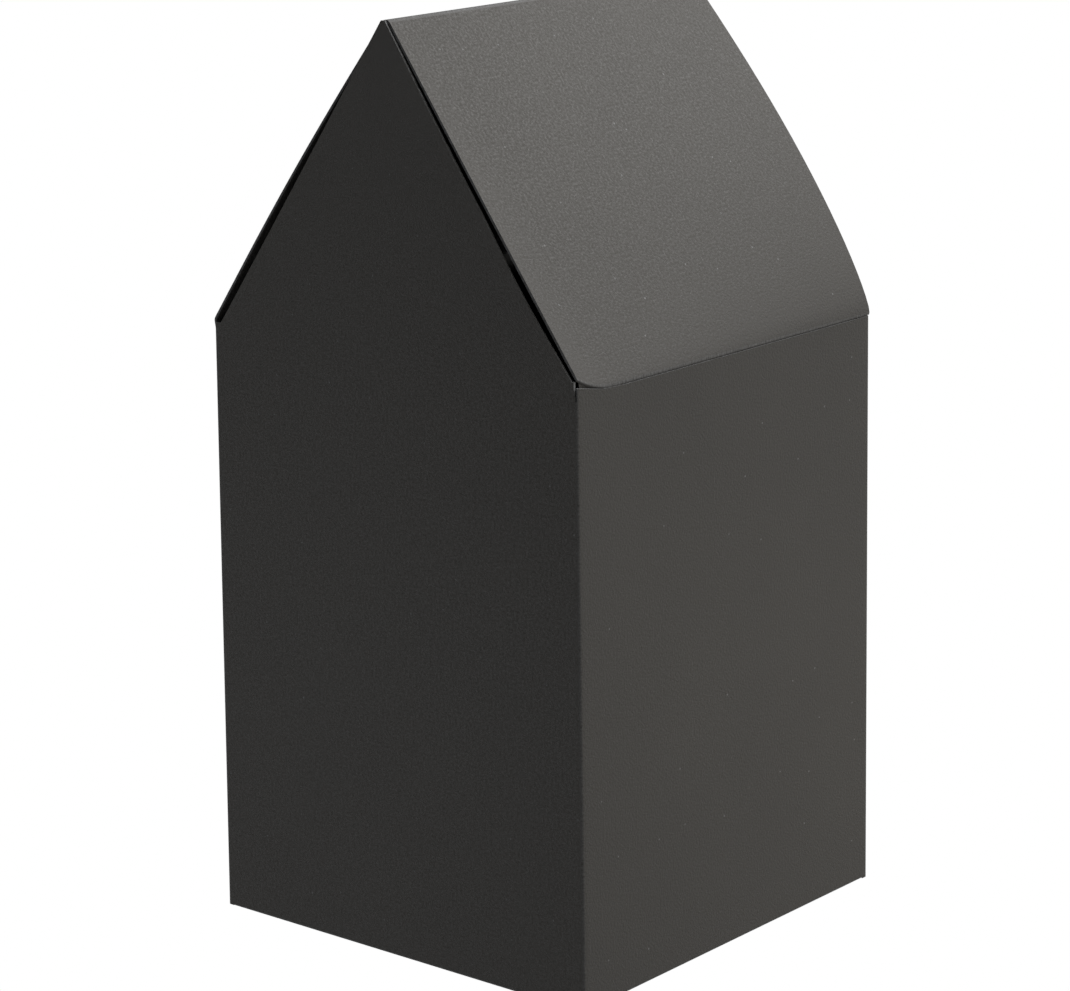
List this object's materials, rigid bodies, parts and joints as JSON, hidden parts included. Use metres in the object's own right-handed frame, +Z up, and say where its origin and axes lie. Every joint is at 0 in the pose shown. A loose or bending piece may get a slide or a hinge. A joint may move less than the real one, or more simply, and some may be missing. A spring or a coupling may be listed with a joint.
{
  "type": "cardboard house box",
  "caption": "House-shaped gift box folded from black card: square walls, pitched roof with a tuck-in roof panel as its lid, and a tuck bottom.",
  "frame": {"origin": "centre of the square footprint, on the surface that the box stands on", "axes": "+Z up; -Y out of the front wall, which runs up into a gable; +X out of the wall that the roof lid tucks into; the ridge runs along Y"},
  "size_m": [0.08, 0.08, 0.1573],
  "materials": {
    "black_card": "matte uncoated black card"
  },
  "bodies": {
    "carton": {"carton_body": "black_card"},
    "lid": {"roof_lid": "black_card"},
    "bottom": {"bottom_flap": "black_card"}
  },
  "joints": [
    {"name": "ridge_crease", "type": "hinge", "parent": "carton", "child": "lid", "pos_m": [0.00048, 0, 0.1573], "axis": [0, -1, 0], "range_deg": [0, 150]},
    {"name": "bottom_crease", "type": "hinge", "parent": "carton", "child": "bottom", "pos_m": [0, -0.03971, 0.00029], "axis": [-1, 0, 0], "range_deg": [0, 110]}
  ]
}
